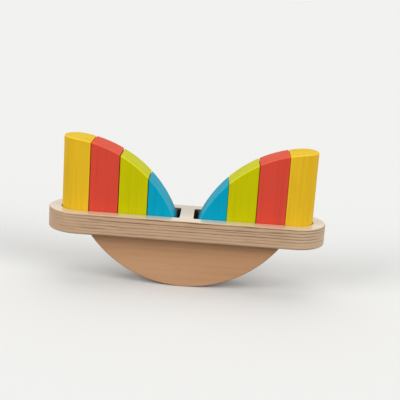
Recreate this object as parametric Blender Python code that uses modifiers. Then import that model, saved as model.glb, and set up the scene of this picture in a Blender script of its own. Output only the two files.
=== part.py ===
"""A toy balance scale of wood: a board on a curved rocker, with eight blocks in two pockets.

Each pocket holds four blocks. Their tops make one long arc, low and steep at the middle of
the board and nearly level at its ends. A child lifts blocks out, and the board tips.

Metres, +Z up. The board's length lies along X and its front faces -Y. The origin is under the
middle of the board, on the surface that the rocker stands on.
"""
import math

import bmesh
import bpy

# Blocks. Four stand side by side in each pocket, from the middle of the board outwards.
BLOCK_PITCH = 0.025         # along the board, from one joint line to the next
BLOCK_DEPTH = 0.032         # from front to back
BLOCK_JOINT = 0.0003        # open line between two neighbours
BLOCK_ROUND = 0.0009        # soft edge all round a block
TALL_HEIGHT = 0.0712        # highest line of the arc, above the pocket's floor
TIP_HEIGHT = 0.0028         # inner face of the lowest block
CROWN_INSET = 0.0015        # from the outer end of the blocks to the highest line of the arc
BLOCK_COLOURS = ("blue", "green", "red", "yellow")
SIDES = ((-1, "left"), (1, "right"))

# Board, with one routed pocket for each group of blocks.
BOARD_THICKNESS = 0.018
BRIDGE_WIDTH = 0.012        # wood left standing between the two pockets
SIDE_WALL = 0.0111          # from a pocket to the board's long edge
END_WALL = 0.0106           # from a pocket to the board's round end
BOARD_ROUND = 0.0012        # soft edge round the board's faces
POCKET_DEPTH = 0.009
POCKET_SLACK = 0.003        # free length beside the lowest block
POCKET_CLEARANCE = 0.0004   # round the blocks' sides and outer ends
POCKET_CORNER = 0.0015      # radius that the cutter leaves in the inner corners
POCKET_RIM = 0.0006         # soft edge round a pocket's mouth
REST_GAP = 0.0003           # between a block and the pocket's floor

# Rocker, glued and dowelled under the board.
ROCKER_HEIGHT = 0.0435
ROCKER_CHORD = 0.1666       # length of its flat top
ROCKER_THICKNESS = 0.032
ROCKER_ROUND = 0.001
GLUE_LINE = 0.0003

# Dowels, upright, in blind holes of the rocker and the board.
DOWEL_DIAMETER = 0.008
DOWEL_IN_ROCKER = 0.018
DOWEL_SPACING = 0.080       # from one dowel's axis to the other's
DOWEL_CLEARANCE = 0.0003    # round a dowel and past its ends
DOWEL_COVER = 0.002         # wood left between a dowel hole and the pocket's floor
DOWEL_CHAMFER = 0.0008

# How finely the curves are drawn.
ROUND_STEPS = 28            # facets in a half circle
ARC_STEP = math.radians(2.4)  # turn of the blocks' arc in one facet
TOP_STRIPS = 10             # across the top of an outer block
ROCKER_FACETS = 55          # odd, so that one lies flat at the bottom
EDGE_STEPS = 3
OVERCUT = 0.004             # how far a cutter runs past what it cuts

GROUP_LENGTH = BLOCK_PITCH * len(BLOCK_COLOURS)
GROUP_START = BRIDGE_WIDTH / 2 + POCKET_SLACK
GROUP_END = GROUP_START + GROUP_LENGTH
POCKET_START = BRIDGE_WIDTH / 2
POCKET_END = GROUP_END + POCKET_CLEARANCE
POCKET_WIDTH = BLOCK_DEPTH + 2 * POCKET_CLEARANCE
BOARD_WIDTH = POCKET_WIDTH + 2 * SIDE_WALL
BOARD_LENGTH = 2 * (POCKET_END + END_WALL)
BOARD_BOTTOM = ROCKER_HEIGHT + GLUE_LINE
BOARD_TOP = BOARD_BOTTOM + BOARD_THICKNESS
POCKET_FLOOR = BOARD_TOP - POCKET_DEPTH
BLOCK_BASE = POCKET_FLOOR + REST_GAP

# The arc runs level through the crown and down to the inner face of the lowest block.
ARC_RUN = GROUP_LENGTH - CROWN_INSET
ARC_DROP = TALL_HEIGHT - TIP_HEIGHT
ARC_RADIUS = (ARC_RUN ** 2 + ARC_DROP ** 2) / (2 * ARC_DROP)
ARC_X = GROUP_END - CROWN_INSET
ARC_Z = POCKET_FLOOR + TALL_HEIGHT - ARC_RADIUS

ROCKER_RADIUS = (ROCKER_CHORD ** 2 / 4 + ROCKER_HEIGHT ** 2) / (2 * ROCKER_HEIGHT)

# Colours as linear red, green and blue.
PAINTS = {
    "yellow": (0.72, 0.42, 0.03),
    "red": (0.62, 0.07, 0.045),
    "green": (0.50, 0.50, 0.01),
    "blue": (0.01, 0.31, 0.50),
}


def start_scene():
    """Clear the scene and make one collection for the parts and one for the cutters."""
    for old in list(bpy.data.objects):
        bpy.data.objects.remove(old, do_unlink=True)
    for name in ("toy_balance_scale", "cutters"):
        collection = bpy.data.collections.get(name)
        if collection is None:
            collection = bpy.data.collections.new(name)
            bpy.context.scene.collection.children.link(collection)
    return bpy.data.collections["toy_balance_scale"], bpy.data.collections["cutters"]


def make_material(name, colour, roughness):
    material = bpy.data.materials.get(name) or bpy.data.materials.new(name)
    material.use_nodes = True
    shader = material.node_tree.nodes["Principled BSDF"]
    shader.inputs["Base Color"].default_value = (*colour, 1.0)
    shader.inputs["Roughness"].default_value = roughness
    shader.inputs["Metallic"].default_value = 0.0
    return material


def make_solid(curve_object, collection):
    """Turn a filled and extruded curve into a welded mesh object of the same name and place."""
    bpy.context.view_layer.update()
    evaluated = curve_object.evaluated_get(bpy.context.evaluated_depsgraph_get())
    mesh = bpy.data.meshes.new_from_object(evaluated)
    shape = bmesh.new()
    shape.from_mesh(mesh)
    bmesh.ops.remove_doubles(shape, verts=shape.verts, dist=0.000005)
    bmesh.ops.dissolve_limit(shape, angle_limit=math.radians(0.2), verts=shape.verts,
                             edges=shape.edges)
    bmesh.ops.recalc_face_normals(shape, faces=shape.faces)
    shape.to_mesh(mesh)
    shape.free()
    name = curve_object.name
    place = curve_object.matrix_world.copy()
    curve = curve_object.data
    bpy.data.objects.remove(curve_object, do_unlink=True)
    bpy.data.curves.remove(curve)
    solid = bpy.data.objects.new(name, mesh)
    mesh.name = name
    solid.matrix_world = place
    collection.objects.link(solid)
    return solid


def extrude(name, outline, thickness, place, collection, upright=False):
    """A closed outline, filled, with half its thickness on each side of its own plane.

    The outline lies in X and Y, or in X and Z when it stands upright.
    """
    curve = bpy.data.curves.new(name, "CURVE")
    curve.dimensions = "2D"
    curve.fill_mode = "BOTH"
    curve.extrude = thickness / 2
    spline = curve.splines.new("POLY")
    spline.points.add(len(outline) - 1)
    for point, (across, along) in zip(spline.points, outline):
        point.co = (across, along, 0.0, 1.0)
    spline.use_cyclic_u = True
    item = bpy.data.objects.new(name, curve)
    item.location = place
    if upright:
        item.rotation_euler.x = math.pi / 2
    collection.objects.link(item)
    return make_solid(item, collection)


def arc_points(centre, radius, start, end, steps):
    """Points on an arc, with the angles measured from +X towards +Y."""
    points = []
    for index in range(steps + 1):
        angle = start + (end - start) * index / steps
        points.append((centre[0] + radius * math.cos(angle), centre[1] + radius * math.sin(angle)))
    return points


def capsule(length, width):
    """A straight-sided outline with a half circle at each end, its middle on the origin."""
    radius = width / 2
    middle = length / 2 - radius
    right = arc_points((middle, 0.0), radius, -math.pi / 2, math.pi / 2, ROUND_STEPS)
    left = arc_points((-middle, 0.0), radius, math.pi / 2, 3 * math.pi / 2, ROUND_STEPS)
    return right + left


def pocket_outline(side):
    """Square at the inner end, with the cutter's small corners, and half round at the outer."""
    radius = POCKET_WIDTH / 2
    corner = min(POCKET_CORNER, radius * 0.9)
    outer = arc_points((POCKET_END - radius, 0.0), radius, -math.pi / 2, math.pi / 2, ROUND_STEPS)
    back = arc_points((POCKET_START + corner, radius - corner), corner, math.pi / 2, math.pi, 6)
    front = arc_points((POCKET_START + corner, corner - radius), corner, math.pi, 1.5 * math.pi, 6)
    return [(side * x, y) for x, y in outer + back + front]


def block_outline(rounded, side):
    """A block's plan round its own middle; the outer block has a half round end."""
    half = (BLOCK_PITCH - BLOCK_JOINT) / 2
    depth = BLOCK_DEPTH / 2
    if not rounded:
        return [(-half, -depth), (half, -depth), (half, depth), (-half, depth)]
    reach = min(depth, 2 * half)
    points = []
    for x, y in arc_points((0.0, 0.0), 1.0, -math.pi / 2, math.pi / 2, ROUND_STEPS):
        points.append((half - reach + reach * x, depth * y))
    points += [(-half, depth), (-half, -depth)]
    return [(side * x, y) for x, y in points]


def arc_angle(distance):
    """The arc's angle from its crown, at a distance along the board from the group's start."""
    return math.asin(min(1.0, (GROUP_LENGTH - CROWN_INSET - distance) / ARC_RADIUS))


def arc_cutter(side, label, collection):
    """What the saw takes off above the arc of one group. Its facets start afresh at each joint."""
    angles = [math.atan2(ARC_RUN, ARC_RADIUS - ARC_DROP)]
    for place in range(len(BLOCK_COLOURS)):
        start = angles[-1]
        end = arc_angle(BLOCK_PITCH * (place + 1))
        facets = max(4, round((start - end) / ARC_STEP))
        angles += [start + (end - start) * (index + 1) / facets for index in range(facets)]
    outline = []
    for angle in angles:
        x = ARC_X - ARC_RADIUS * math.sin(angle)
        outline.append((x, ARC_Z + ARC_RADIUS * math.cos(angle)))
    inner_x = outline[0][0] - OVERCUT * math.cos(angles[0])
    inner_z = outline[0][1] - OVERCUT * math.sin(angles[0])
    outer_x = outline[-1][0] + OVERCUT
    top = POCKET_FLOOR + TALL_HEIGHT + 2 * OVERCUT
    outline.insert(0, (inner_x, inner_z))
    outline += [(outer_x, outline[-1][1]), (outer_x, top), (inner_x, top)]
    outline = [(side * x, z) for x, z in outline]
    cutter = extrude("cutter_arc_" + label, outline, BLOCK_DEPTH + 2 * OVERCUT, (0.0, 0.0, 0.0),
                     collection, upright=True)
    return hide_cutter(cutter)


def follow_arc(block, side):
    """Lower the level top of a rounded block onto the arc, in narrow strips across it."""
    level = TALL_HEIGHT - REST_GAP - 2 * BLOCK_ROUND
    shape = bmesh.new()
    shape.from_mesh(block.data)
    for index in range(1, TOP_STRIPS):
        x = BLOCK_PITCH * (index / TOP_STRIPS - 0.5)
        faces = [face for face in shape.faces if face.calc_center_median().z > level]
        edges = {edge for face in faces for edge in face.edges}
        corners = {vertex for face in faces for vertex in face.verts}
        bmesh.ops.bisect_plane(shape, geom=[*corners, *edges, *faces], dist=0.0002,
                               plane_co=(x, 0.0, 0.0), plane_no=(1.0, 0.0, 0.0))
    for vertex in shape.verts:
        if vertex.co.z > level:
            from_crown = side * (block.location.x + vertex.co.x) - ARC_X
            vertex.co.z -= ARC_RADIUS - math.sqrt(ARC_RADIUS ** 2 - from_crown ** 2)
    shape.to_mesh(block.data)
    shape.free()


def hide_cutter(cutter):
    cutter.hide_render = True
    cutter.display_type = "WIRE"
    return cutter


def cut(target, cutter):
    step = target.modifiers.new("cut " + cutter.name, "BOOLEAN")
    step.operation = "DIFFERENCE"
    step.solver = "EXACT"
    step.object = cutter


def soften(target, width):
    step = target.modifiers.new("soft edges", "BEVEL")
    step.width = width
    step.segments = EDGE_STEPS
    step.limit_method = "ANGLE"
    step.angle_limit = math.radians(35)


def make_real(target):
    """Apply the modifiers, for a piece that gets more work on the result."""
    bpy.context.view_layer.update()
    evaluated = target.evaluated_get(bpy.context.evaluated_depsgraph_get())
    mesh = bpy.data.meshes.new_from_object(evaluated)
    target.modifiers.clear()
    target.data = mesh
    mesh.name = target.name


def soften_rims(target, height, width, inside):
    """Round the edges of one level face, those of its outer rim or those of the holes in it."""
    shape = bmesh.new()
    shape.from_mesh(target.data)
    chosen = []
    for edge in shape.edges:
        ends = [target.matrix_world @ vertex.co for vertex in edge.verts]
        if any(abs(point.z - height) > 0.00001 for point in ends):
            continue
        if len(edge.link_faces) != 2 or edge.calc_face_angle() < math.radians(35):
            continue
        in_pocket = all(abs(point.y) < POCKET_WIDTH / 2 + 0.0001 for point in ends)
        in_pocket = in_pocket and all(abs(point.x) < POCKET_END + 0.0001 for point in ends)
        if in_pocket == inside:
            chosen.append(edge)
    bmesh.ops.bevel(shape, geom=chosen, offset=width, segments=EDGE_STEPS, profile=0.5,
                    affect="EDGES", clamp_overlap=True)
    shape.to_mesh(target.data)
    shape.free()


def shade(target, material):
    target.data.materials.clear()
    target.data.materials.append(material)
    target.data.shade_smooth()
    target.data.set_sharp_from_angle(angle=math.radians(35))


def dowel_hole(name, x, low, high, collection):
    radius = DOWEL_DIAMETER / 2 + DOWEL_CLEARANCE
    bpy.ops.mesh.primitive_cylinder_add(vertices=32, radius=radius, depth=high - low,
                                        location=(x, 0.0, (low + high) / 2))
    return file_away(bpy.context.object, name, collection)


def file_away(item, name, collection):
    """Name an object that an operator made, and move it into one of the two collections."""
    item.name = name
    item.data.name = name
    for old in list(item.users_collection):
        old.objects.unlink(item)
    collection.objects.link(item)
    return item


def make_board(parts, cutters, material):
    board = extrude("board", capsule(BOARD_LENGTH, BOARD_WIDTH), BOARD_THICKNESS,
                    (0.0, 0.0, (BOARD_BOTTOM + BOARD_TOP) / 2), parts)
    for side, label in SIDES:
        pocket = extrude("cutter_pocket_" + label, pocket_outline(side), POCKET_DEPTH + OVERCUT,
                         (0.0, 0.0, (POCKET_FLOOR + BOARD_TOP + OVERCUT) / 2), cutters)
        cut(board, hide_cutter(pocket))
        hole = dowel_hole("cutter_board_hole_" + label, side * DOWEL_SPACING / 2,
                          BOARD_BOTTOM - OVERCUT, POCKET_FLOOR - DOWEL_COVER, cutters)
        cut(board, hide_cutter(hole))
    make_real(board)
    soften_rims(board, BOARD_TOP, BOARD_ROUND, inside=False)
    soften_rims(board, BOARD_TOP, POCKET_RIM, inside=True)
    soften_rims(board, BOARD_BOTTOM, BOARD_ROUND, inside=False)
    shade(board, material)


def make_rocker(parts, cutters, material):
    """A segment of a round slab, cut so that one narrow facet lies flat at the bottom."""
    reach = math.atan2(ROCKER_CHORD / 2, ROCKER_RADIUS - ROCKER_HEIGHT)
    step = 2 * reach / ROCKER_FACETS
    level = ROCKER_RADIUS * math.cos(step / 2)
    outline = [(-ROCKER_CHORD / 2, ROCKER_HEIGHT)]
    for index in range(1, ROCKER_FACETS):
        angle = -reach + step * index
        outline.append((ROCKER_RADIUS * math.sin(angle), level - ROCKER_RADIUS * math.cos(angle)))
    outline.append((ROCKER_CHORD / 2, ROCKER_HEIGHT))
    rocker = extrude("rocker", outline, ROCKER_THICKNESS, (0.0, 0.0, 0.0), parts, upright=True)
    soften(rocker, ROCKER_ROUND)
    for side, label in SIDES:
        hole = dowel_hole("cutter_rocker_hole_" + label, side * DOWEL_SPACING / 2,
                          ROCKER_HEIGHT - DOWEL_IN_ROCKER - DOWEL_CLEARANCE,
                          ROCKER_HEIGHT + OVERCUT, cutters)
        cut(rocker, hide_cutter(hole))
    shade(rocker, material)


def make_dowel(label, side, parts, material):
    low = ROCKER_HEIGHT - DOWEL_IN_ROCKER
    high = POCKET_FLOOR - DOWEL_COVER - DOWEL_CLEARANCE
    bpy.ops.mesh.primitive_cylinder_add(vertices=32, radius=DOWEL_DIAMETER / 2, depth=high - low,
                                        location=(side * DOWEL_SPACING / 2, 0.0, (low + high) / 2))
    dowel = file_away(bpy.context.object, "dowel_" + label, parts)
    step = dowel.modifiers.new("chamfered ends", "BEVEL")
    step.width = DOWEL_CHAMFER
    step.segments = 1
    step.limit_method = "ANGLE"
    step.angle_limit = math.radians(35)
    shade(dowel, material)


def make_block(label, side, place, arc, parts, material):
    """One block, with its origin at the middle of its base, where it slides up and out."""
    colour = BLOCK_COLOURS[place]
    outermost = place == len(BLOCK_COLOURS) - 1
    middle = side * (GROUP_START + BLOCK_PITCH * (place + 0.5))
    height = TALL_HEIGHT - REST_GAP
    if not outermost:
        height += OVERCUT
    block = extrude(colour + "_block_" + label, block_outline(outermost, side), height,
                    (middle, 0.0, BLOCK_BASE), parts)
    for vertex in block.data.vertices:
        vertex.co.z += height / 2
    if not outermost:
        cut(block, arc)
    soften(block, BLOCK_ROUND)
    if outermost:
        make_real(block)
        follow_arc(block, side)
    shade(block, material)


def gather(parts):
    """Put every piece under one empty at the origin, so that the toy moves as one."""
    stand = bpy.data.objects.new("toy_balance_scale", None)
    parts.objects.link(stand)
    for item in list(parts.objects):
        if item is not stand:
            item.parent = stand


def main():
    parts, cutters = start_scene()
    ply = make_material("birch plywood", (0.60, 0.46, 0.31), 0.55)
    wood = make_material("plain wood", (0.46, 0.25, 0.13), 0.6)
    make_board(parts, cutters, ply)
    make_rocker(parts, cutters, wood)
    paints = {}
    for colour, tint in PAINTS.items():
        paints[colour] = make_material(colour + " paint", tint, 0.4)
    for side, label in SIDES:
        make_dowel(label, side, parts, wood)
        arc = arc_cutter(side, label, cutters)
        for place, colour in enumerate(BLOCK_COLOURS):
            make_block(label, side, place, arc, parts, paints[colour])
    gather(parts)
    print("board", round(BOARD_LENGTH * 1000, 1), "x", round(BOARD_WIDTH * 1000, 1), "mm")
    print("blocks' arc radius", round(ARC_RADIUS * 1000, 1), "mm, rocker radius",
          round(ROCKER_RADIUS * 1000, 1), "mm")


main()
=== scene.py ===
# %% [markdown]
# # A wooden balance scale
#
# A plywood board lies on a round wooden rocker. Two pockets in the board hold eight painted
# blocks, and their tops run down in one long arc to the middle. Whoever lifts a block out makes
# the board tip, and that is the whole game.
#
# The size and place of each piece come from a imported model, called the frame here. It could be
# rendered as it is, but its curves have few facets and its colours are flat. So this lesson
# loads the frame, measures it, and makes a finer piece in the place of each one that shows.

# %% Load the frame and keep its size
import math

import bmesh
import bpy
from mathutils import Matrix, Vector


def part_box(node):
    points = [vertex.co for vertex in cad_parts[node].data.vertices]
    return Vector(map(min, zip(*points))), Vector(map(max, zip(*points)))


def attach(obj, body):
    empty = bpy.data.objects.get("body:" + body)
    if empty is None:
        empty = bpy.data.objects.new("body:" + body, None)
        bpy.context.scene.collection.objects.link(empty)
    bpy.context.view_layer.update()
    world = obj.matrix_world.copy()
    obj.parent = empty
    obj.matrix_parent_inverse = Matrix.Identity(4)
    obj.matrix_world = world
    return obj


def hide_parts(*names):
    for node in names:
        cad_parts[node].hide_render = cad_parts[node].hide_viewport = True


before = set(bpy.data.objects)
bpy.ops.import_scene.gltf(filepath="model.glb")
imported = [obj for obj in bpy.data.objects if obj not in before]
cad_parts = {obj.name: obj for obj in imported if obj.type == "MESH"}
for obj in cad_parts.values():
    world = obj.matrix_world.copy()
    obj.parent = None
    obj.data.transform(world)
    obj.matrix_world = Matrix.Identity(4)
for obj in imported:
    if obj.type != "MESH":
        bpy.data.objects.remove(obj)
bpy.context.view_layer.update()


def in_mm(values):
    return [round(value * 1000, 2) for value in values]


# %% [markdown]
# ## The camera
#
# The toy is seen almost straight from the front and a little from above. The camera could be
# pointed at a target with a constraint, but a constraint keeps the horizon level, and here the
# toy runs slightly downhill to the right. So the camera's three directions are written out:
# where it looks back from, what is right, and what is up. Its roll turns the last two. Then it
# moves a little aside and upwards, which shifts the toy in the frame and turns nothing.

# %% Place the camera
AZIMUTH = math.radians(1.0)
ELEVATION = math.radians(14.38)
ROLL = math.radians(3.97)
DISTANCE = 0.800
ASIDE = 0.01105
ABOVE = 0.01145
SENSOR = 36.0
LENS = 82.83


def link_object(name, data):
    made = bpy.data.objects.new(name, data)
    bpy.context.scene.collection.objects.link(made)
    return made


board_low, board_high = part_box("board")
back = Vector((math.sin(AZIMUTH) * math.cos(ELEVATION),
               -math.cos(AZIMUTH) * math.cos(ELEVATION),
               math.sin(ELEVATION)))
level = Vector((math.cos(AZIMUTH), math.sin(AZIMUTH), 0.0))
upright = back.cross(level)
right = math.cos(ROLL) * level + math.sin(ROLL) * upright
up = math.cos(ROLL) * upright - math.sin(ROLL) * level

camera = link_object("camera", bpy.data.cameras.new("camera"))
camera.data.sensor_width = SENSOR
camera.data.lens = LENS
stand_point = Vector((0.0, 0.0, board_high.z)) + DISTANCE * back + ASIDE * right + ABOVE * up
turned = Matrix((right, up, back)).transposed().to_4x4()
camera.matrix_world = Matrix.Translation(stand_point) @ turned
bpy.context.scene.camera = camera
print("The camera stands at", in_mm(camera.location), "mm")

# %% [markdown]
# ## Floor and light
#
# The toy stands on a plain pale surface under the soft light of a small studio. Lamps near the
# toy would leave a bright pool on the floor, and suns don't, because their light is the same
# everywhere. So two wide suns stand left and right in front, quite low, and one stands behind,
# high up. The low ones reach in under the board and light the round ends of the toy from the
# side. The high one lights the tops more than the fronts, which makes the soft rims stand out,
# and the tall blocks keep it off the board's front strip, so that their colours show there.
# The suns light surfaces but aren't mirrored in them. Mirrored, each would be a burnt-out patch
# on the lacquer, where a real softbox is a dim glow.
#
# The floor is pale to look at. A pale floor also throws much light back up, and that would
# take away the shade under the board. So its colour is darker for the light that it throws
# back, and stays pale for the camera and in the lacquer's reflections.

# %% Lay the floor
FLOOR_SIZE = 16.0
FLOOR_SEEN = (0.715, 0.715, 0.702)
FLOOR_AS_LIGHT = (0.20, 0.197, 0.190)
# A Mix node has sockets for every kind of value. These are its two colours and its result.
FIRST_COLOUR = 6
SECOND_COLOUR = 7
MIXED_COLOUR = 2


def seen_directly(tree):
    """1 for a camera, mirrored or transmitted ray, and 0 for light that is passed on."""
    rays = tree.nodes.new("ShaderNodeLightPath")
    total = rays.outputs["Is Camera Ray"]
    for kind in ("Is Glossy Ray", "Is Transmission Ray"):
        add = tree.nodes.new("ShaderNodeMath")
        add.operation = "ADD"
        add.use_clamp = True
        tree.links.new(total, add.inputs[0])
        tree.links.new(rays.outputs[kind], add.inputs[1])
        total = add.outputs[0]
    return total


floor_material = bpy.data.materials.new("pale floor")
floor_material.use_nodes = True
floor_tree = floor_material.node_tree
floor_tree.nodes.clear()
floor_choice = floor_tree.nodes.new("ShaderNodeMix")
floor_choice.data_type = "RGBA"
floor_choice.inputs[FIRST_COLOUR].default_value = (*FLOOR_AS_LIGHT, 1.0)
floor_choice.inputs[SECOND_COLOUR].default_value = (*FLOOR_SEEN, 1.0)
floor_matt = floor_tree.nodes.new("ShaderNodeBsdfDiffuse")
floor_output = floor_tree.nodes.new("ShaderNodeOutputMaterial")
floor_tree.links.new(seen_directly(floor_tree), floor_choice.inputs[0])
floor_tree.links.new(floor_choice.outputs[MIXED_COLOUR], floor_matt.inputs["Color"])
floor_tree.links.new(floor_matt.outputs[0], floor_output.inputs["Surface"])

floor_shape = bmesh.new()
bmesh.ops.create_grid(floor_shape, x_segments=1, y_segments=1, size=FLOOR_SIZE / 2)
floor_mesh = bpy.data.meshes.new("floor")
floor_shape.to_mesh(floor_mesh)
floor_shape.free()
floor_mesh.materials.append(floor_material)
floor = link_object("floor", floor_mesh)
print("The floor is", FLOOR_SIZE, "m wide")

# %% Light it
SUNS = {
    "left softbox": {"azimuth": -55, "elevation": 26, "level": 0.54, "width": 36},
    "right softbox": {"azimuth": 55, "elevation": 26, "level": 0.54, "width": 36},
    "back softbox": {"azimuth": 180, "elevation": 68, "level": 0.18, "width": 60},
}
ROOM_LIGHT = 0.60
ROOM_VIEW = 0.888


def add_sun(name, azimuth, elevation, level, width):
    """A sun whose angles are in degrees, and what it adds to the light on a level surface."""
    lamp = bpy.data.lights.new(name, "SUN")
    lamp.energy = level * math.pi
    lamp.angle = math.radians(width)
    sun = link_object(name, lamp)
    sun.visible_glossy = False
    turn, rise = math.radians(azimuth), math.radians(elevation)
    flat = math.cos(rise)
    towards = Vector((math.sin(turn) * flat, -math.cos(turn) * flat, math.sin(rise)))
    sun.rotation_mode = "QUATERNION"
    sun.rotation_quaternion = towards.to_track_quat("Z", "Y")
    return towards.z * level


top_level = ROOM_LIGHT
for sun_name, sun_values in SUNS.items():
    top_level += add_sun(sun_name, **sun_values)
print("A level surface gets", round(top_level, 2), "times the light that shows a colour as written")

# %% [markdown]
# The world fills the shadows. It is dimmer as a light than as a view, in the same way as the
# floor, so that the lacquer mirrors a pale room without the room washing the colours out. As a
# view it is about as bright as the far floor, so that no horizon shows behind the toy.

# %% Fill the room
WHITE = (1.0, 1.0, 1.0, 1.0)
WARM_WHITE = (1.0, 1.0, 0.982, 1.0)

world = bpy.data.worlds.new("room")
bpy.context.scene.world = world
world.use_nodes = True
room = world.node_tree
room.nodes.clear()


def glow(strength, colour):
    background = room.nodes.new("ShaderNodeBackground")
    background.inputs["Strength"].default_value = strength
    background.inputs["Color"].default_value = colour
    return background.outputs[0]


either = room.nodes.new("ShaderNodeMixShader")
room_output = room.nodes.new("ShaderNodeOutputWorld")
room.links.new(seen_directly(room), either.inputs[0])
room.links.new(glow(ROOM_LIGHT, WHITE), either.inputs[1])
room.links.new(glow(ROOM_VIEW, WARM_WHITE), either.inputs[2])
room.links.new(either.outputs[0], room_output.inputs["Surface"])
bpy.context.scene.view_settings.view_transform = "Standard"
print("The room lights at", ROOM_LIGHT, "and is seen at", ROOM_VIEW)

# %% [markdown]
# ## A kit for mixing materials
#
# Every finish on this toy is wood in some form, so all of them need the same few things: a
# place in the piece, noise stretched along the grain, and a soft step from one colour to
# another. A node tree written out line by line hides that. The two small classes here hold one
# material and name those things, so that a finish reads like a recipe. Places are in metres
# and measured in the piece itself, so the grain stays on a block when the block is lifted.

class Nodes:
    """One new material, with short ways to add nodes to it and to calculate."""

    def __init__(self, name):
        self.material = bpy.data.materials.new(name)
        self.material.use_nodes = True
        self.tree = self.material.node_tree
        self.shader = self.tree.nodes["Principled BSDF"]
        where = self.tree.nodes.new("ShaderNodeTexCoord")
        self.place = where.outputs["Object"]
        self.facing = where.outputs["Normal"]

    def plug(self, value, socket):
        """Link another node's output to a socket, or set the socket to a value."""
        if isinstance(value, bpy.types.NodeSocket):
            self.tree.links.new(value, socket)
        else:
            socket.default_value = value

    def add(self, kind, inputs, **settings):
        """A node of that kind, with its inputs by the sockets' names or places."""
        node = self.tree.nodes.new(kind)
        for name, value in settings.items():
            setattr(node, name, value)
        for key, value in inputs.items():
            self.plug(value, node.inputs[key])
        return node

    def maths(self, operation, first, second=0.0):
        return self.add("ShaderNodeMath", {0: first, 1: second}, operation=operation).outputs[0]

    def plus(self, first, second):
        return self.maths("ADD", first, second)

    def minus(self, first, second):
        return self.maths("SUBTRACT", first, second)

    def times(self, first, *others):
        for other in others:
            first = self.maths("MULTIPLY", first, other)
        return first

    def weighed(self, *parts):
        """The sum of some values, each times its weight."""
        shares = [self.times(value, weight) for value, weight in parts]
        total = shares[0]
        for share in shares[1:]:
            total = self.plus(total, share)
        return total

    def split(self, vector):
        return self.add("ShaderNodeSeparateXYZ", {0: vector}).outputs


def words_of(kit):
    return ", ".join(name for name in vars(kit) if not name.startswith("_"))


print("The kit's sums and nodes are", words_of(Nodes))

# %% [markdown]
# Most patterns in the finishes are one noise and one step. A noise is written as a few numbers:
# how many lumps it has in a metre along the toy, into it and up it, then its detail, and last
# how far it is moved away from the other noises. It wanders between 0 and 1 and is mostly near
# the middle. The step says between which two values of the noise the finish changes, and from
# what to what.

class Recipe(Nodes):
    """A material that is mixed from patterns and colours."""

    def noise(self, per_metre, detail, shift=(0.0, 0.0, 0.0)):
        """Noise with that many lumps in a metre along each axis."""
        at = self.add("ShaderNodeMapping", {"Vector": self.place, "Scale": per_metre,
                                            "Location": shift})
        return self.add("ShaderNodeTexNoise", {"Vector": at.outputs[0], "Scale": 1.0,
                                               "Detail": detail}).outputs[0]

    def step(self, value, low, high, start=0.0, end=1.0):
        """A soft step from start to end, as the value goes from low to high."""
        return self.add("ShaderNodeMapRange", {0: value, 1: low, 2: high, 3: start, 4: end},
                        interpolation_type="SMOOTHSTEP").outputs[0]

    def mix(self, share, first, second, blend="MIX"):
        """A colour that goes from first to second with its share."""
        node = self.add("ShaderNodeMix", {0: share}, data_type="RGBA", blend_type=blend)
        for key, colour in ((FIRST_COLOUR, first), (SECOND_COLOUR, second)):
            if not isinstance(colour, bpy.types.NodeSocket):
                colour = (*colour, 1.0)
            self.plug(colour, node.inputs[key])
        return node.outputs[MIXED_COLOUR]

    def finish(self, colour, roughness, height, depth, **uniform):
        """Plug in the colour, roughness and bump, and set what is the same all over."""
        self.plug(colour, self.shader.inputs["Base Color"])
        self.plug(roughness, self.shader.inputs["Roughness"])
        bump = self.add("ShaderNodeBump", {"Height": height, "Distance": depth, "Strength": 1.0})
        self.plug(bump.outputs[0], self.shader.inputs["Normal"])
        for name, value in uniform.items():
            self.plug(value, self.shader.inputs[name.replace("_", " ")])
        print(self.material.name, "has", len(self.tree.nodes), "nodes")
        return self.material


print("Its patterns and colours are", words_of(Recipe))

# %% [markdown]
# ## Plywood
#
# The board is thirteen sheets of birch glued into one between two thin face veneers, with the
# grain of each sheet across the grain of the next. On its edge they show as thin dark lines and
# broader pale ones, a little wavy and broken. A striped picture could be wrapped round the edge,
# but it would smear over the round ends and inside the pockets. Here the stripes come from the
# height alone, so any cut through the board shows them, as it does in real plywood: even the
# pocket walls.
#
# The sheets are numbered from the top first. Veneer isn't equally thick all over, and in the
# middle of this board the second sheet is thicker and the fourth one thinner than the rest.

# %% Number the sheets by height
SHEETS = 13
FACE_VENEER = 0.0004
SHEET = (board_high.z - board_low.z - 2 * FACE_VENEER) / SHEETS
SLOW_WAVES = ((26.0, 26.0, 60.0), 2.0)
QUICK_WAVES = ((110.0, 110.0, 420.0), 2.0, (3.0, 1.0, 7.0))
WAVE_HEIGHT = 0.0006
SLOW_PART = 1.3
QUICK_PART = 0.7
# In the middle of the board the lines under the second sheet lie lower, by up to this part of a
# sheet. It begins and ends between two sheet numbers, and it fades out between two distances
# from the middle.
LOWER_BY = 0.85
LOWER_BEGINS = (2.0, 4.2)
LOWER_ENDS = (4.3, 5.6)
LOWER_FADES = (0.058, 0.092)


def sheet_number(wood, along, height):
    """1 at the top of the first sheet, 2 at the second, with the waves of real veneer."""
    waves = wood.weighed((wood.noise(*SLOW_WAVES), SLOW_PART),
                         (wood.noise(*QUICK_WAVES), QUICK_PART))
    wavy_height = wood.plus(height, wood.times(wood.minus(waves, 1.0), WAVE_HEIGHT))
    depth = wood.minus(board_high.z - FACE_VENEER, wavy_height)
    number = wood.plus(wood.maths("DIVIDE", depth, SHEET), 1.0)
    lower = wood.times(wood.step(number, *LOWER_BEGINS), wood.step(number, *LOWER_ENDS, 1.0, 0.0))
    middle = wood.step(wood.maths("ABSOLUTE", along), *LOWER_FADES, LOWER_BY, 0.0)
    return wood.minus(number, wood.times(lower, middle))


print("Each sheet is", round(SHEET * 1000, 2), "mm thick")

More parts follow.
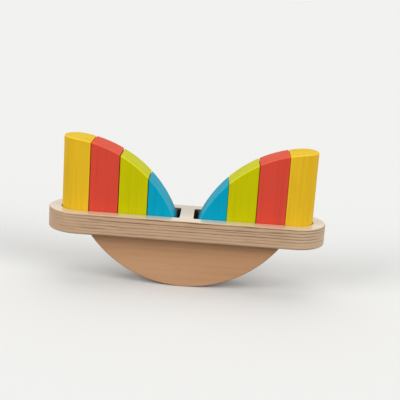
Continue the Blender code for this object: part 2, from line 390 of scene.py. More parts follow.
# %% [markdown]
# The sine of a sheet's number swings down over each odd sheet and up over each even one. The
# odd sheets show their end grain on the long sides of the board, so they are the dark lines
# there. Round the ends the edge cuts both kinds slantwise, and the lines lose some of their
# strength. No line is equally dark all along. The ones near the top are clear from end to end,
# the others come and go, and at the board's left end all of them are faint.

# %% The dark lines on the edge
DARK_BIRCH = (0.150, 0.084, 0.045)
STRENGTHS = ((9.0, 9.0, 270.0), 1.0, (0.0, 2.0, 0.0))
BREAKS = ((60.0, 60.0, 700.0), 2.0, (1.0, 6.0, 0.0))
WEAK_LINE = 0.30
STRONG_LINE = 0.76
BROKEN_LINE = 0.62
# The numbers of the sheets between which the clear lines give way to the others
CLEAR_LINES = (2.8, 5.6)
# How far the edge has turned to the side where it counts as the board's end
ROUND_THE_END = (0.45, 0.95)
ODD_ROUND_THE_END = 0.65
EVEN_ROUND_THE_END = 0.15
# Where the lines fade along the board, and what is left of them
LEFT_END = (-0.104, -0.074)
LINES_AT_THE_LEFT = 0.35
RIGHT_END = (0.078, 0.104)
LINES_AT_THE_RIGHT = 0.85


def dark_lines(wood, number, along):
    """How dark the edge is, from 0 between the lines to 1 in the strongest."""
    sideways = wood.maths("ABSOLUTE", wood.split(wood.facing)[0])
    round_the_end = wood.step(sideways, *ROUND_THE_END)
    wave = wood.maths("SINE", wood.times(number, math.pi))
    odd = wood.times(wood.step(wave, 0.05, -0.75),
                     wood.step(round_the_end, 0.0, 1.0, 1.0, ODD_ROUND_THE_END))
    even = wood.times(wood.step(wave, 0.20, 0.95, 0.0, EVEN_ROUND_THE_END), round_the_end)
    strength = wood.step(wood.noise(*STRENGTHS), 0.38, 0.62, WEAK_LINE, STRONG_LINE)
    clear = wood.step(number, *CLEAR_LINES, 1.0, 0.0)
    return wood.times(wood.plus(odd, even), wood.maths("MAXIMUM", strength, clear),
                      wood.step(along, *LEFT_END, LINES_AT_THE_LEFT, 1.0),
                      wood.step(along, *RIGHT_END, 1.0, LINES_AT_THE_RIGHT),
                      wood.step(wood.noise(*BREAKS), 0.36, 0.58, BROKEN_LINE, 1.0))


print("The long sides show", (SHEETS + 1) // 2, "dark lines")

# %% [markdown]
# Between the lines the edge is pale birch with long pink fibres, a few dark hairs and, close
# up, tiny pores. The face veneers are paler and yellower, with a fine grain that runs along the
# board. The pockets' floors lie deep in the board, where the router has left a rougher, browner
# wood, darkened further with painted shade. They look up like the face does, so they are told
# apart by their depth.

# %% The wood of the edge and of the faces
PALE_BIRCH = (0.550, 0.372, 0.236)
PINK_BIRCH = (0.470, 0.292, 0.178)
FACE_BIRCH = (0.655, 0.550, 0.384)
FACE_GRAIN = (0.575, 0.445, 0.290)
# The pockets' floors: a browner routed wood, darkened further with painted shade
ROUTED_AND_SHADED_FLOOR = (0.300, 0.200, 0.120)
HAIRS = ((45.0, 45.0, 1700.0), 2.0, (4.0, 0.0, 2.0))
FIGURE = ((9.0, 60.0, 60.0), 2.0, (2.0, 0.0, 0.0))
HAIR_SHARE = 0.38
PORE_SHARE = 0.25
FIGURE_SHARE = 0.35
# Where the board gets paler towards its right end, and by how much
PALER_END = (0.080, 0.104)
PALER = 0.26
# Flat wood between these depths is a pocket's floor
BELOW_THE_TOP = (0.002, 0.004)
ABOVE_THE_UNDERSIDE = (0.015, 0.017)
# How far wood has turned up or down where it counts as flat, and the depths between which a
# face veneer fades into the edge
TURNED_FLAT = (0.93, 0.995)
VENEER_SHOWS = (0.1 * FACE_VENEER, 0.7 * FACE_VENEER)


def edge_wood(wood, dark, along, fibres, pores):
    pale = wood.mix(wood.step(fibres, 0.34, 0.70), PALE_BIRCH, PINK_BIRCH)
    pale = wood.mix(wood.step(along, *PALER_END, 0.0, PALER), pale, FACE_BIRCH)
    hairs = wood.step(wood.noise(*HAIRS), 0.56, 0.72, 0.0, HAIR_SHARE)
    pale = wood.mix(hairs, pale, DARK_BIRCH)
    edge = wood.mix(dark, pale, DARK_BIRCH)
    return wood.mix(wood.step(pores, 0.60, 0.78, 0.0, PORE_SHARE), edge, DARK_BIRCH)


def face_wood(wood, depth, grain):
    face = wood.mix(wood.step(grain, 0.42, 0.74), FACE_BIRCH, FACE_GRAIN)
    figure = wood.step(wood.noise(*FIGURE), 0.45, 0.75, 0.0, FIGURE_SHARE)
    face = wood.mix(figure, face, FACE_GRAIN)
    # Pocket floors get the browner routed wood with painted shade in it
    routed = wood.times(wood.step(depth, *BELOW_THE_TOP),
                        wood.step(depth, *ABOVE_THE_UNDERSIDE, 1.0, 0.0))
    return wood.mix(routed, face, ROUTED_AND_SHADED_FLOOR)


def flat_share(wood, depth):
    """1 on the faces and in the thin veneers on them, and 0 on the edge below."""
    turned = wood.step(wood.maths("ABSOLUTE", wood.split(wood.facing)[2]), *TURNED_FLAT)
    from_face = wood.maths("MINIMUM", depth, wood.minus(board_high.z - board_low.z, depth))
    return wood.maths("MAXIMUM", turned, wood.step(from_face, *VENEER_SHOWS, 1.0, 0.0))


print("A face is", round(sum(FACE_BIRCH) / sum(PALE_BIRCH), 2), "times as light as the edge")

# %% [markdown]
# Beside the bridge the pockets are nearly black, because the narrow gaps there lie in deep
# shade. A lamp could be kept out of the gaps instead, but they are dark from every side. So
# the shade is painted: the walls near the bridge get a nearly black colour, from a little
# below the pockets' rims down to their floors.

# %% The painted shade at the inner ends
# Painted shade: the nearly black colour of the gaps beside the bridge, and where it lies
GAP_SHADE_COLOUR = (0.055, 0.032, 0.020)
NEAR_THE_BRIDGE = (0.0088, 0.0106)
BELOW_THE_RIM = (0.0006, 0.0022)
WITHIN_THE_POCKET = (0.0166, 0.0172)
DOWN_TO_THE_FLOOR = (0.010, 0.011)


# How much painted shade a point gets, near the bridge and inside a pocket
def painted_gap_shade_share(wood, along, deep, depth):
    return wood.times(wood.step(wood.maths("ABSOLUTE", along), *NEAR_THE_BRIDGE, 1.0, 0.0),
                      wood.step(depth, *BELOW_THE_RIM),
                      wood.step(wood.maths("ABSOLUTE", deep), *WITHIN_THE_POCKET, 1.0, 0.0),
                      wood.step(depth, *DOWN_TO_THE_FLOOR, 1.0, 0.0))


print("The scorched walls end", in_mm(NEAR_THE_BRIDGE)[1], "mm from the board's middle")

# %% [markdown]
# Last the board gets its shine. Its faces have a thin coat of clear lacquer that mirrors the
# blocks' colours in the strip in front of them, and its edge is dull. The coat follows the
# same share as the face veneers, so it ends where they do.

# %% Put the plywood together
FIBRES = ((70.0, 70.0, 4200.0), 3.0)
PORES = ((2600.0, 2600.0, 1500.0), 2.0)
GRAIN = ((14.0, 420.0, 420.0), 4.0, (0.0, 4.0, 0.0))
EDGE_ROUGHNESS = 0.50
FACE_ROUGHNESS = 0.20
PORE_ROUGHNESS = 0.10
# How dull the painted shade in the gaps is
GAP_SHADE_ROUGHNESS = 0.85
LACQUER = 0.8
LACQUER_ROUGHNESS = 0.12
PLYWOOD_RELIEF = 0.00006


def plywood():
    wood = Recipe("birch plywood")
    along, deep, height = wood.split(wood.place)
    depth = wood.minus(board_high.z, height)
    fibres, pores, grain = [wood.noise(*pattern) for pattern in (FIBRES, PORES, GRAIN)]
    dark = dark_lines(wood, sheet_number(wood, along, height), along)
    flat = flat_share(wood, depth)
    scorch = painted_gap_shade_share(wood, along, deep, depth)

    edge = edge_wood(wood, dark, along, fibres, pores)
    colour = wood.mix(flat, edge, face_wood(wood, depth, grain))
    # Painted shade darkens the pocket walls beside the bridge
    colour = wood.mix(scorch, colour, GAP_SHADE_COLOUR)
    shine = wood.plus(wood.step(flat, 0.0, 1.0, EDGE_ROUGHNESS, FACE_ROUGHNESS),
                      wood.step(pores, 0.3, 0.7, 0.0, PORE_ROUGHNESS))
    shine = wood.maths("MAXIMUM", shine, wood.times(scorch, GAP_SHADE_ROUGHNESS))
    relief = wood.weighed((fibres, 0.5), (dark, -0.5), (grain, 0.3))
    wood.plug(wood.times(flat, LACQUER), wood.shader.inputs["Coat Weight"])
    return wood.finish(colour, shine, relief, PLYWOOD_RELIEF, Coat_Roughness=LACQUER_ROUGHNESS)


plywood_material = plywood()

# %% [markdown]
# ## The rocker's wood
#
# The rocker is one block of a plain reddish-brown hardwood with its grain running level from
# end to end. Its front is sanded so smooth that only fine short flecks show. The flecks are
# noise that is long along the grain and very thin across it. The grain runs through the whole
# piece, so the round edge below shows the same wood, and its ends show more pores.

# %% Hardwood for the rocker and the dowels
ROCKER_WOOD = {"main": (0.472, 0.256, 0.128), "dark": (0.340, 0.170, 0.077),
               "light": (0.518, 0.290, 0.155)}
DOWEL_WOOD = {"main": (0.560, 0.400, 0.240), "dark": (0.400, 0.250, 0.130),
              "light": (0.640, 0.480, 0.310)}
# Lumps in a metre along and across the grain, the detail, and how far the noise is moved
HARDWOOD_CLOUD = (9.0, 45.0, 2.0, 1.0)
HARDWOOD_BANDS = (7.0, 210.0, 3.0, 3.0)
HARDWOOD_FLECKS = (130.0, 1500.0, 2.0, 7.0)
HARDWOOD_FIBRES = (60.0, 3800.0, 2.0, 11.0)
BAND_SHARE = 0.42
FLECK_SHARE = 0.38
FIBRE_SHARE = 0.22
HARDWOOD_ROUGHNESS = (0.48, 0.58)
HARDWOOD_GLINT = 0.35
HARDWOOD_RELIEF = 0.00005
LENGTHWISE = 0
UPRIGHT = 2


def hardwood(name, main, dark, light, axis):
    """Plain wood with its grain along an axis."""
    wood = Recipe(name)

    def pattern(along_grain, across_grain, detail, shift):
        per_metre = [across_grain] * 3
        per_metre[axis] = along_grain
        return wood.noise(per_metre, detail, (shift, shift / 2, shift / 3))

    cloud, bands = pattern(*HARDWOOD_CLOUD), pattern(*HARDWOOD_BANDS)
    flecks, fibres = pattern(*HARDWOOD_FLECKS), pattern(*HARDWOOD_FIBRES)
    colour = wood.mix(wood.step(cloud, 0.35, 0.68), main, light)
    colour = wood.mix(wood.step(bands, 0.46, 0.76, 0.0, BAND_SHARE), colour, dark)
    colour = wood.mix(wood.step(flecks, 0.60, 0.74, 0.0, FLECK_SHARE), colour, dark)
    colour = wood.mix(wood.step(fibres, 0.30, 0.70, 0.0, FIBRE_SHARE), colour, light)
    shine = wood.step(bands, 0.3, 0.7, *HARDWOOD_ROUGHNESS)
    relief = wood.weighed((flecks, -0.5), (fibres, 0.5))
    return wood.finish(colour, shine, relief, HARDWOOD_RELIEF, Specular_IOR_Level=HARDWOOD_GLINT)


rocker_material = hardwood("reddish hardwood", axis=LENGTHWISE, **ROCKER_WOOD)
dowel_material = hardwood("dowel rod", axis=UPRIGHT, **DOWEL_WOOD)

# %% [markdown]
# ## Paint
#
# The blocks are sprayed with a thin satin paint that children can suck on. It covers the wood's
# colour but not all of its grain, which stands upright in the blocks: the fronts keep faint
# upright streaks, and the tops, cut across the grain, keep small dots. One noise field in three
# directions gives both by itself. Each paint has two colours: the top one is a lit copy of the
# front one, with painted light and a painted sheen in it, and which of them shows depends on how
# far the surface looks up. The rims get a painted highlight, most of all round the tops. A
# value stored on the mesh will say where they are.

# %% Four paints
# Each paint's top colour is its front colour with painted light and a painted sheen in it
PAINTS = {
    "blue": {"front": (0.001, 0.318, 0.492), "top": (0.016, 0.310, 0.436)},
    "green": {"front": (0.508, 0.486, 0.001), "top": (0.528, 0.524, 0.012)},
    "red": {"front": (0.632, 0.062, 0.037), "top": (0.632, 0.084, 0.043)},
    "yellow": {"front": (0.735, 0.450, 0.018), "top": (0.695, 0.466, 0.022)},
}
# The name of the mesh value that holds the painted highlight on the rims
RIM_HIGHLIGHT_LAYER = "rim"
PAINT_STREAKS = ((420.0, 420.0, 11.0), 3.0)
PAINT_HAIRS = ((1900.0, 1900.0, 40.0), 2.0, (3.0, 5.0, 0.0))
PAINT_CLOUD = ((70.0, 70.0, 24.0), 2.0, (0.0, 0.0, 9.0))
PAINT_MIST = ((3200.0, 3200.0, 3200.0), 1.0)
# How far the surface has turned upwards where the colour of the top takes over
TURNED_UP = (0.05, 0.40)
DEEPER = (0.84, 0.84, 0.84)
STREAK_SHARE = 0.75
CLOUD_SHARE = 0.45
LIGHTER = (1.0, 1.0, 1.0)
LIGHT_HAIR_SHARE = 0.01
# Painted highlight on the rims: how much lighter they are, and how much of that shows
RIM_HIGHLIGHT = (1.22, 1.22, 1.22)
RIM_HIGHLIGHT_SHARE = 0.80
PAINT_ROUGHNESS = (0.48, 0.54)
HAIR_ROUGHNESS = 0.06
PAINT_GLINT = 0.05
PAINT_RELIEF = 0.00006


def satin_paint(colour_name, front, top):
    paint = Recipe(colour_name + " satin paint")
    streaks, hairs = paint.noise(*PAINT_STREAKS), paint.noise(*PAINT_HAIRS)
    cloud, mist = paint.noise(*PAINT_CLOUD), paint.noise(*PAINT_MIST)
    rim = paint.add("ShaderNodeAttribute", {}, attribute_name=RIM_HIGHLIGHT_LAYER).outputs["Fac"]
    facing_up = paint.maths("ABSOLUTE", paint.split(paint.facing)[2])

    # Painted light and sheen: surfaces that look up take the lit top colour
    tint = paint.mix(paint.step(facing_up, *TURNED_UP), front, top)
    tint = paint.mix(paint.step(streaks, 0.44, 0.80, 0.0, STREAK_SHARE), tint, DEEPER, "MULTIPLY")
    tint = paint.mix(paint.step(cloud, 0.48, 0.80, 0.0, CLOUD_SHARE), tint, DEEPER, "MULTIPLY")
    tint = paint.mix(paint.step(hairs, 0.55, 0.80, 0.0, LIGHT_HAIR_SHARE), tint, LIGHTER)
    # Painted highlight: the rims are made lighter
    tint = paint.mix(paint.times(rim, RIM_HIGHLIGHT_SHARE), tint, RIM_HIGHLIGHT, "MULTIPLY")
    shine = paint.plus(paint.step(cloud, 0.3, 0.7, *PAINT_ROUGHNESS),
                       paint.times(hairs, HAIR_ROUGHNESS))
    relief = paint.weighed((streaks, 0.55), (hairs, 0.25), (mist, 0.20))
    return paint.finish(tint, shine, relief, PAINT_RELIEF, Specular_IOR_Level=PAINT_GLINT)


paints = {name: satin_paint(name, **colours) for name, colours in PAINTS.items()}

# %% [markdown]
# ## Soft rims
#
# Every piece here is a flat slab with rounded rims. A Bevel modifier would round them too, but
# it stops at the shortest edge it meets, and a finely drawn arc has only short edges. So the
# slabs are stacked from rings instead. A ring is the slab's outline at one depth. It starts
# small on the flat face, grows in a quarter round to full size, and shrinks again behind. To
# let it grow, each point of an outline is kept as a core point and the direction it moves in.
#
# A corner is one core point with a fan of directions. Round a right angle they lie on a circle.
# Sharper corners, such as the foot of a blue block, would come out blunt and too short that
# way, so the sharper a corner is, the more its directions reach out to the pointed tip.

# %% Outlines that can grow
RIM_STEPS = 7


def fan(u, v, start, end, steps=RIM_STEPS):
    """One core point that grows into a round corner, with its directions in degrees."""
    middle, half = math.radians(start + end) / 2, math.radians(end - start) / 2
    sharp = max(0.0, 1.0 - 1.0 / math.tan(half))
    points = []
    for index in range(steps + 1):
        angle = math.radians(start + (end - start) * index / steps)
        du = sharp * math.cos(middle) / math.cos(half) + (1 - sharp) * math.cos(angle)
        dv = sharp * math.sin(middle) / math.cos(half) + (1 - sharp) * math.sin(angle)
        points.append((u, v, du, dv))
    return points


def sweep(centre, radius, start, end, steps):
    """An arc of core points that all grow straight out from its centre."""
    points = []
    for index in range(steps + 1):
        angle = math.radians(start + (end - start) * index / steps)
        across, along = math.cos(angle), math.sin(angle)
        points.append((centre[0] + radius * across, centre[1] + radius * along, across, along))
    return points


def mirrored(outline, side):
    """The same outline on the left side, which is -1, or the right one, which is 1."""
    return [(side * u, v, side * du, dv) for u, v, du, dv in outline]


def grow(outline, width, place):
    """The outline grown by a width, as points in the toy. place turns two numbers into a point."""
    return [place(u + width * du, v + width * dv) for u, v, du, dv in outline]


def quarter(radius):
    """A quarter round as pairs: how far behind the flat face, and how far out."""
    turns = [math.pi / 2 * index / RIM_STEPS for index in range(RIM_STEPS + 1)]
    return [(radius * (1 - math.cos(turn)), radius * math.sin(turn)) for turn in turns]


print("A rim of 1 mm grows through", in_mm([out for behind, out in quarter(0.001)]), "mm")

# %% Stack rings into a solid
SAME_POINT = 0.000001


def stack(shape, rings):
    """Join rings of equally many points with faces, and give back their vertices."""
    layers = [[shape.verts.new(point) for point in ring] for ring in rings]
    for near, far in zip(layers, layers[1:]):
        for index in range(len(near)):
            following = (index + 1) % len(near)
            shape.faces.new((near[index], near[following], far[following], far[index]))
    return layers


def merge(shape):
    """Close up the places where a core point was used more than once."""
    bmesh.ops.remove_doubles(shape, verts=shape.verts, dist=SAME_POINT)
    bmesh.ops.recalc_face_normals(shape, faces=shape.faces)


def slab(outline, near, far, rim, place):
    """A slab with rounded rims between two depths, with both of its faces flat."""
    shape = bmesh.new()
    rings = []
    for behind, out in quarter(rim):
        rings.append(grow(outline, out, lambda u, v: place(u, v, near + behind)))
    for behind, out in reversed(quarter(rim)):
        rings.append(grow(outline, out, lambda u, v: place(u, v, far - behind)))
    layers = stack(shape, rings)
    shape.faces.new(layers[0])
    shape.faces.new(layers[-1])
    merge(shape)
    return shape


def standing(u, v, depth):
    """Outlines that stand upright and face the front."""
    return (u, depth, v)


def lying(u, v, depth):
    """Outlines that lie flat."""
    return (u, v, depth)


print("Points less than", round(SAME_POINT * 1000, 4), "mm apart become one")

# %% [markdown]
# ## Holes with rims
#
# The pockets and the dowel holes could be cut with Boolean modifiers. That leaves thin slivers
# round a curved hole, and the pockets' mouths would still need rounding. A flat face can also
# be taken out and filled again round the holes, whose walls are stacked from rings as well.

# %% Pierce a flat face
STRAIGHT_ON = 0.999


def pierce(shape, face, holes):
    """Fill a flat face again with holes in it. A hole is a list of rings, from its mouth down."""
    borders = list(face.edges)
    shape.faces.remove(face)
    for rings in holes:
        layers = stack(shape, rings)
        shape.faces.new(layers[-1])
        mouth = layers[0]
        for index, vertex in enumerate(mouth):
            borders.append(shape.edges.get((vertex, mouth[(index + 1) % len(mouth)])))
    bmesh.ops.triangle_fill(shape, edges=borders, use_beauty=True)
    bmesh.ops.recalc_face_normals(shape, faces=shape.faces)


def widest_face(shape, direction):
    """The largest face that looks in that direction."""
    facing = [face for face in shape.faces if face.normal.dot(Vector(direction)) > STRAIGHT_ON]
    return max(facing, key=lambda face: face.calc_area())


print("A face may lean up to", round(math.degrees(math.acos(STRAIGHT_ON)), 1), "degrees")

# %% [markdown]
# ## Putting a piece in its place
#
# A finished shape becomes an object with its material. It is shaded smooth, and a Weighted
# Normal modifier lets the large flat faces decide the shading, so that they look flat right up
# to their rims. Then the piece is hung on the body that it moves with, the piece of the frame
# that it stands for is hidden, and its size is compared with that piece.

# %% Finish and place a piece
SMOOTH_ANGLE = math.radians(40)


def place_piece(name, shape, material, node, body):
    """Make the shape a piece that rides on a body and stands for a node of the frame."""
    mesh = bpy.data.meshes.new(name)
    shape.to_mesh(mesh)
    shape.free()
    mesh.materials.append(material)
    mesh.shade_smooth()
    mesh.set_sharp_from_angle(angle=SMOOTH_ANGLE)
    piece = link_object(name, mesh)
    weigh = piece.modifiers.new("flat faces stay flat", "WEIGHTED_NORMAL")
    weigh.keep_sharp = True
    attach(piece, body)
    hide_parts(node)
    low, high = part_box(node)
    corners = [Vector(corner) for corner in piece.bound_box]
    starts = [min(corner[axis] for corner in corners) - low[axis] for axis in range(3)]
    ends = [max(corner[axis] for corner in corners) - high[axis] for axis in range(3)]
    print(name, "has", len(mesh.polygons), "faces and differs by", in_mm(starts), in_mm(ends), "mm")


print("Edges of more than", round(math.degrees(SMOOTH_ANGLE)), "degrees stay sharp")

# %% [markdown]
# ## The board
#
# The board has straight sides and half round ends, and all its rims are sanded to a small
# radius. Each pocket was routed: its outer end is half round like the yellow block in it, and
# its inner end is square, with small round corners that the cutter left. The pockets are a
# little larger than the blocks, so their size is taken from the blocks and a clearance.

# %% The board's outline
BOARD_RIM = 0.0012
HALF_ROUND_STEPS = 48

board_radius = board_high.y
board_middle = board_high.x - board_radius
core_radius = board_radius - BOARD_RIM
board_outline = (sweep((board_middle, 0.0), core_radius, -90, 90, HALF_ROUND_STEPS)
                 + sweep((-board_middle, 0.0), core_radius, 90, 270, HALF_ROUND_STEPS))
board_shape = slab(board_outline, board_low.z, board_high.z, BOARD_RIM, lying)
print("The board is", in_mm(board_high - board_low), "mm")

# %% Shape the pockets and the dowel holes
SIDES = {"left": -1, "right": 1}
BRIDGE = 0.012
CLEARANCE = 0.0004
REST_GAP = 0.0003
POCKET_CORNER = 0.0015
POCKET_RIM = 0.0006
BLOCK_JOINT = 0.0003
DOWEL_CLEARANCE = 0.0003
DOWEL_STEPS = 32


def pocket(side):
    """A pocket's rings, from its rounded mouth down to its floor."""
    low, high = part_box("yellow_block_right")
    radius = high.y + CLEARANCE
    outer = high.x + BLOCK_JOINT / 2 + CLEARANCE - radius
    inner = BRIDGE / 2 + POCKET_CORNER
    core = radius - POCKET_CORNER
    outline = sweep((outer, 0.0), core, -90, 90, HALF_ROUND_STEPS)
    outline += fan(inner, core, 90, 180) + fan(inner, -core, 180, 270)
    outline = mirrored(outline, side)
    rings = []
    for behind, out in quarter(POCKET_RIM):
        wider = POCKET_CORNER + POCKET_RIM - out
        rings.append(grow(outline, wider, lambda u, v: (u, v, board_high.z - behind)))
    floor_height = low.z - REST_GAP
    rings.append(grow(outline, POCKET_CORNER, lambda u, v: (u, v, floor_height)))
    return rings


def dowel_holes(mouth, upwards):
    """Two round holes, each from its mouth to just past the dowel's upper or lower end."""
    holes = []
    for side_name in SIDES:
        low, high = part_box("dowel_" + side_name)
        middle = (low + high) / 2
        radius = (high.x - low.x) / 2 + DOWEL_CLEARANCE
        end = high.z + DOWEL_CLEARANCE if upwards else low.z - DOWEL_CLEARANCE
        circle = sweep((middle.x, middle.y), radius, 0, 360, DOWEL_STEPS)[:-1]
        holes.append([[(u, v, height) for u, v, du, dv in circle] for height in (mouth, end)])
    return holes


print("A pocket is", in_mm([board_high.z - pocket(SIDES["right"])[-1][0][2]])[0], "mm deep")

# %% Cut them into the board
TOP = (0, 0, 1)
UNDERSIDE = (0, 0, -1)

pierce(board_shape, widest_face(board_shape, TOP), [pocket(side) for side in SIDES.values()])
pierce(board_shape, widest_face(board_shape, UNDERSIDE), dowel_holes(board_low.z, upwards=True))
place_piece("board_of_plywood", board_shape, plywood_material, "board", "stand")

# %% [markdown]
# ## The rocker
#
# The rocker is a segment of a thick round disc, cut off level at the top, where it is glued and
# dowelled under the board. Its outline is one long arc and one straight line, and the two meet
# in sharp tips that are sanded just enough not to scratch.

# %% The rocker's outline
ROCKER_RIM = 0.001
# How long the level top would be if the two tips were left sharp
ROCKER_CHORD = 0.1666
ARC_STEPS = 110

rocker_low, rocker_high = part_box("rocker")
rocker_height = rocker_high.z - rocker_low.z
rocker_radius = (ROCKER_CHORD ** 2 / 4 + rocker_height ** 2) / (2 * rocker_height)
inner_radius = rocker_radius - ROCKER_RIM
inner_top = rocker_height - ROCKER_RIM
tip_angle = math.degrees(math.acos((rocker_radius - inner_top) / inner_radius))
tip_reach = inner_radius * math.sin(math.radians(tip_angle))

rocker_outline = sweep((0.0, rocker_radius), inner_radius, -90 - tip_angle, -90 + tip_angle,
                       ARC_STEPS)
rocker_outline += fan(tip_reach, inner_top, -90 + tip_angle, 90, 2 * RIM_STEPS)
rocker_outline += fan(-tip_reach, inner_top, 90, 270 - tip_angle, 2 * RIM_STEPS)
print("The rocker rolls on a radius of", round(rocker_radius * 1000, 1), "mm")

# %% Make the rocker
rocker_shape = slab(rocker_outline, rocker_low.y, rocker_high.y, ROCKER_RIM, standing)
pierce(rocker_shape, widest_face(rocker_shape, TOP), dowel_holes(rocker_high.z, upwards=False))
place_piece("rocker_of_hardwood", rocker_shape, rocker_material, "rocker", "stand")

# %% [markdown]
# ## The dowels
#
# Two dowels join the rocker to the board. They are round rods of the right shape in the frame
# already and nothing of them shows, so they stay as they are and only get their wood.

# %% The dowels' wood
for side_name in SIDES:
    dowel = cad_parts["dowel_" + side_name]
    dowel.data.materials.clear()
    dowel.data.materials.append(dowel_material)
print("The dowels keep the frame's shape")

# %% [markdown]
# ## The blocks
#
# The tops of the four blocks in a pocket lie on one arc. It is level near the outer end and
# falls ever more steeply to the middle of the board. The three inner blocks are slabs that
# face the front, so their outlines stand upright and hold a piece of that arc.

# %% The arc over a pocket
CROWN_INSET = 0.0015
TIP_HEIGHT = 0.0028
BLOCK_RIM = 0.0009

yellow_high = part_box("yellow_block_right")[1]
blue_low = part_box("blue_block_right")[0]
pocket_floor = blue_low.z - REST_GAP
arc_x = yellow_high.x + BLOCK_JOINT / 2 - CROWN_INSET
arc_run = arc_x - (blue_low.x - BLOCK_JOINT / 2)
arc_drop = yellow_high.z - (pocket_floor + TIP_HEIGHT)
arc_radius = (arc_run ** 2 + arc_drop ** 2) / (2 * arc_drop)
arc_z = yellow_high.z - arc_radius
print("The arc's radius is", round(arc_radius * 1000, 1), "mm")

# %% [markdown]
# The blocks stand loosely in their pocket, and the joints between them aren't all equally wide.
# In the frame they are. From the front a joint is a thin dark line that looks darker the wider
# it is, so each joint has its own width here, set from how dark its line should be. Half of
# what a joint needs is taken from the block on either side.

# %% How wide the joints are, from the bridge outwards
JOINTS = {"left": (0.00066, 0.00068, 0.00060), "right": (0.00026, 0.00050, 0.00032)}


def room_beside(colour, side_name):
    """How far a block stays back from its box, on its inner and its outer side."""
    order = list(PAINTS).index(colour)
    beside = (BLOCK_JOINT, *JOINTS[side_name], BLOCK_JOINT)[order:order + 2]
    return [(joint - BLOCK_JOINT) / 2 for joint in beside]


for side_name, joints in JOINTS.items():
    print("The joints on the", side_name, "are", in_mm(joints), "mm wide")


# %% The three inner blocks
ARC_DEGREES = 1.0
LEAST_STEPS = 6


def block_outline(low, high):
    """A block's core outline as seen from the front, on the right half of the toy."""
    inner, outer, base = low.x + BLOCK_RIM, high.x - BLOCK_RIM, low.z + BLOCK_RIM
    radius = arc_radius - BLOCK_RIM
    outer_turn = 90 + math.degrees(math.asin((arc_x - outer) / radius))
    inner_turn = 90 + math.degrees(math.asin((arc_x - inner) / radius))
    outer_top = arc_z + radius * math.sin(math.radians(outer_turn))
    inner_top = arc_z + radius * math.sin(math.radians(inner_turn))
    steps = max(LEAST_STEPS, round((inner_turn - outer_turn) / ARC_DEGREES))
    outline = fan(outer, base, -90, 0) + fan(outer, outer_top, 0, outer_turn)
    outline += sweep((arc_x, arc_z), radius, outer_turn, inner_turn, steps)
    outline += fan(inner, inner_top, inner_turn, 180) + fan(inner, base, 180, 270)
    return outline


def inner_block(colour, side_name):
    """A blue, green or red block, as narrow as the joints beside it ask."""
    low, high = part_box(colour + "_block_right")
    inner_room, outer_room = room_beside(colour, side_name)
    low.x += inner_room
    high.x -= outer_room
    outline = mirrored(block_outline(low, high), SIDES[side_name])
    return slab(outline, low.y, high.y, BLOCK_RIM, standing)


print("The arc gets a point about every",
      round(arc_radius * math.radians(ARC_DEGREES) * 1000, 1), "mm")

# %% [markdown]
# The yellow block at the end is different: its outer side is half round like the board, so its
# outline lies flat and the rings are stacked upwards. Its top is made level first. Then every
# point near the top sinks to the arc, by as much as the arc has dropped there, and the level
# face is laddered across so that it can bend.

# %% The outer block
SIDE_STEPS = 5


def yellow_outline(low, high):
    """The core outline from above, from the front inner corner round to the back one."""
    radius = high.y - BLOCK_RIM
    inner, middle = low.x + BLOCK_RIM, high.x - high.y
    front = [(inner + (middle - inner) * index / SIDE_STEPS, -radius, 0.0, -1.0)
             for index in range(1, SIDE_STEPS)]
    back_side = [(u, -v, du, -dv) for u, v, du, dv in reversed(front)]
    outline = fan(inner, -radius, 180, 270) + front
    outline += sweep((middle, 0.0), radius, -90, 90, HALF_ROUND_STEPS)
    return outline + back_side + fan(inner, radius, 90, 180)


def ladder(shape, layer):
    """Close a layer with strips from its front points to the back points opposite."""
    near, far = 0, len(layer) - 1
    while near + 1 < far - 1:
        shape.faces.new((layer[near], layer[near + 1], layer[far - 1], layer[far]))
        near, far = near + 1, far - 1
    shape.faces.new([layer[index] for index in range(near, far + 1)])


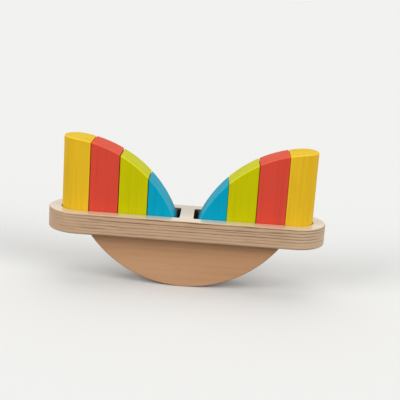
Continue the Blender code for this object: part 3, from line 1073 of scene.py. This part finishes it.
def outer_block(side_name):
    """A yellow block, whose top sinks to the arc."""
    low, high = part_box("yellow_block_right")
    low.x += room_beside("yellow", side_name)[0]
    outline = yellow_outline(low, high)
    rim = quarter(BLOCK_RIM)
    rings = [grow(outline, out, lambda u, v: (u, v, low.z + behind)) for behind, out in rim]

    def sunk(u, v, behind):
        drop = arc_radius - math.sqrt(arc_radius ** 2 - (u - arc_x) ** 2)
        return (u, v, high.z - behind - drop)

    for behind, out in reversed(rim):
        rings.append(grow(outline, out, lambda u, v: sunk(u, v, behind)))
    rings = [[(SIDES[side_name] * x, y, z) for x, y, z in ring] for ring in rings]
    shape = bmesh.new()
    layers = stack(shape, rings)
    shape.faces.new(layers[0])
    ladder(shape, layers[-1])
    merge(shape)
    return shape


print("Its half round end has", HALF_ROUND_STEPS, "steps, and each straight side", SIDE_STEPS)

# %% [markdown]
# The paint needs to know where its painted highlight goes, which is on the rims. A point on a
# large flat face has all its faces turned the same way, and a point on a rim doesn't. The angle
# between the faces round a point tells the two apart, so it is measured once, before the mesh is
# made. The highlight is strongest round the tops. The upright rims lie against the next block,
# in its shade, so they get a smaller value.

# %% Mark the rims for the painted highlight and make all eight blocks
RIM_TURN = math.radians(9)
LOOKS_UP = 0.05
# How strong the painted highlight is on the upper and on the upright rims
UPPER_RIM_HIGHLIGHT = 1.0
UPRIGHT_RIM_HIGHLIGHT = 0.2


def mark_rim_highlights(shape):
    """Store the painted highlight: most on the upper rims, less on the rest, and 0 off the rims."""
    rim = shape.verts.layers.float.new(RIM_HIGHLIGHT_LAYER)
    shape.normal_update()
    for vertex in shape.verts:
        turns = [edge.calc_face_angle(0.0) for edge in vertex.link_edges]
        highlight = UPPER_RIM_HIGHLIGHT if vertex.normal.z > LOOKS_UP else UPRIGHT_RIM_HIGHLIGHT
        vertex[rim] = highlight if max(turns) > RIM_TURN else 0.0
    return shape


for side_name in SIDES:
    for colour in PAINTS:
        if colour == "yellow":
            shape = outer_block(side_name)
        else:
            shape = inner_block(colour, side_name)
        place_piece(f"{colour}_block_{side_name}_painted", mark_rim_highlights(shape), paints[colour],
                    f"{colour}_block_{side_name}", f"{colour}_{side_name}")

# %% [markdown]
# ## Sizes
#
# The finer pieces must not be larger than the frame. Each one's size was compared with its piece
# of the frame as it was placed, and the differences were printed.
